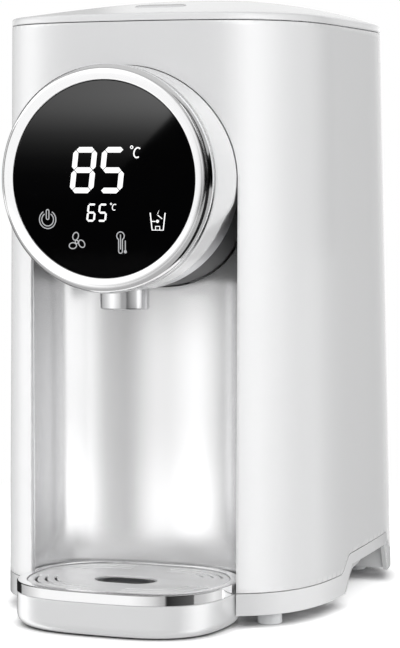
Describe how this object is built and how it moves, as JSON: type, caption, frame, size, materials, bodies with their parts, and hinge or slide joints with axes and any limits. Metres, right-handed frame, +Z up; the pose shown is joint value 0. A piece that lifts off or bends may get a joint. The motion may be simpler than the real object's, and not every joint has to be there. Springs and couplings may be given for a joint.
{
  "type": "electric thermo pot",
  "caption": "Electric hot water pot with a round display head over a cup niche, hinged lid, pump outlet nozzle, hand holds and a lift-out drip tray.",
  "frame": {"origin": "on the table, under the middle of the part's width and length", "axes": "+Z up, the tap side toward -Y, +X to the right of someone who faces the tap side"},
  "size_m": [0.1948, 0.2892, 0.3499],
  "materials": {
    "white_shell": "glossy moulded plastic",
    "white_base": "glossy moulded plastic",
    "white_head": "glossy moulded plastic",
    "white_lid": "glossy moulded plastic",
    "lid_inside": "satin moulded plastic",
    "base_underside": "fine matte texture",
    "rubber_foot": "matte rubber",
    "screw_steel": "zinc plated",
    "niche_metal": "satin brushed upright",
    "bezel_chrome": "polished",
    "trim_chrome": "satin",
    "display_glass": "black printed glass",
    "circuit_green": "solder mask",
    "digit_grey": "matte",
    "spring_steel": "drawn wire",
    "nozzle_chrome": "polished",
    "silicone": "translucent silicone",
    "pot_steel": "spun and brushed",
    "heater_aluminium": "cast",
    "element_steel": "oxidised",
    "band_foil": "foil faced",
    "ceramic": "glazed",
    "sensor_white": "matte",
    "pump_plastic": "moulded",
    "impeller_orange": "moulded",
    "motor_steel": "plated",
    "copper_coil": "wound and varnished",
    "relay_blue": "moulded",
    "capacitor_black": "sleeved",
    "ribbon_grey": "flexible",
    "fan_black": "moulded",
    "inlet_black": "moulded",
    "blade_brass": "stamped",
    "steam_grey": "moulded",
    "button_white": "glossy",
    "tray_white": "glossy moulded plastic",
    "tray_chrome": "polished",
    "grille_steel": "satin",
    "float_black": "moulded"
  },
  "bodies": {
    "housing": {"outer_shell": "white_shell", "base_plinth": "white_base", "bottom_plate": "base_underside", "rubber_feet": "rubber_foot", "base_screws": "screw_steel", "niche_panel": "niche_metal", "head_barrel": "white_head", "trim_ring": "trim_chrome", "bezel_ring": "bezel_chrome", "glass_panel": "display_glass", "display_board": "circuit_green", "digit_module": "digit_grey", "touch_springs": "spring_steel", "board_screws": "screw_steel", "nozzle": "nozzle_chrome", "nozzle_seal": "silicone", "top_deck": "white_shell", "inner_pot": "pot_steel", "pot_seal": "silicone", "heater_plate": "heater_aluminium", "heater_element": "element_steel", "warming_band": "band_foil", "thermostat": "ceramic", "thermal_fuse": "ceramic", "water_sensor": "sensor_white", "pump_chamber": "pump_plastic", "pump_cover": "pump_plastic", "pump_motor": "motor_steel", "suction_hose": "silicone", "riser_hose": "silicone", "control_board": "circuit_green", "transformer": "copper_coil", "relay": "relay_blue", "capacitors": "capacitor_black", "ribbon_cable": "ribbon_grey", "fan_frame": "fan_black", "power_inlet": "inlet_black", "inlet_blades": "blade_brass", "hinge_bracket": "white_shell", "hinge_pin": "screw_steel", "latch_keeper": "screw_steel"},
    "lid": {"lid_cover": "white_lid", "lid_liner": "lid_inside", "lid_gasket": "silicone", "lid_hinge_arm": "white_lid", "steam_cap": "steam_grey", "lid_screws": "screw_steel", "button_spring": "spring_steel"},
    "release_button": {"lid_button": "button_white"},
    "latch": {"latch_hook": "sensor_white"},
    "tray": {"drip_tray": "tray_white", "tray_band": "tray_chrome"},
    "grille": {"tray_grille": "grille_steel"},
    "float": {"tray_float": "float_black"},
    "impeller": {"pump_impeller": "impeller_orange"},
    "fan": {"fan_rotor": "fan_black"}
  },
  "joints": [
    {"name": "lid_hinge", "type": "hinge", "parent": "housing", "child": "lid", "pos_m": [0, 0.13085, 0.334], "axis": [-1, 0, 0], "range_deg": [0, 80]},
    {"name": "button_press", "type": "slide", "parent": "lid", "child": "release_button", "axis": [0, 0, -1], "range_m": [0, 0.003], "stiffness_N_per_m": 350, "springref_m": -0.002, "deforming": ["button_spring"]},
    {"name": "hook_slide", "type": "slide", "parent": "lid", "child": "latch", "axis": [0, 1, 0], "range_m": [0, 0.003]},
    {"name": "tray_slide", "type": "slide", "parent": "housing", "child": "tray", "axis": [0, -1, 0], "range_m": [0, 0.11]},
    {"name": "grille_lift", "type": "slide", "parent": "tray", "child": "grille", "axis": [0, 0, 1], "range_m": [0, 0.06]},
    {"name": "float_rise", "type": "slide", "parent": "tray", "child": "float", "axis": [0, 0, 1], "range_m": [0, 0.003]},
    {"name": "pump_spin", "type": "hinge", "parent": "housing", "child": "impeller", "pos_m": [0.04, 0.00105, 0.048], "axis": [0, 0, 1], "continuous": true},
    {"name": "fan_spin", "type": "hinge", "parent": "housing", "child": "fan", "pos_m": [-0.032, 0.03305, 0.02], "axis": [0, 0, 1], "continuous": true}
  ],
  "couplings": [
    {"joint": "hook_slide", "follows": "button_press", "ratio": 1}
  ]
}
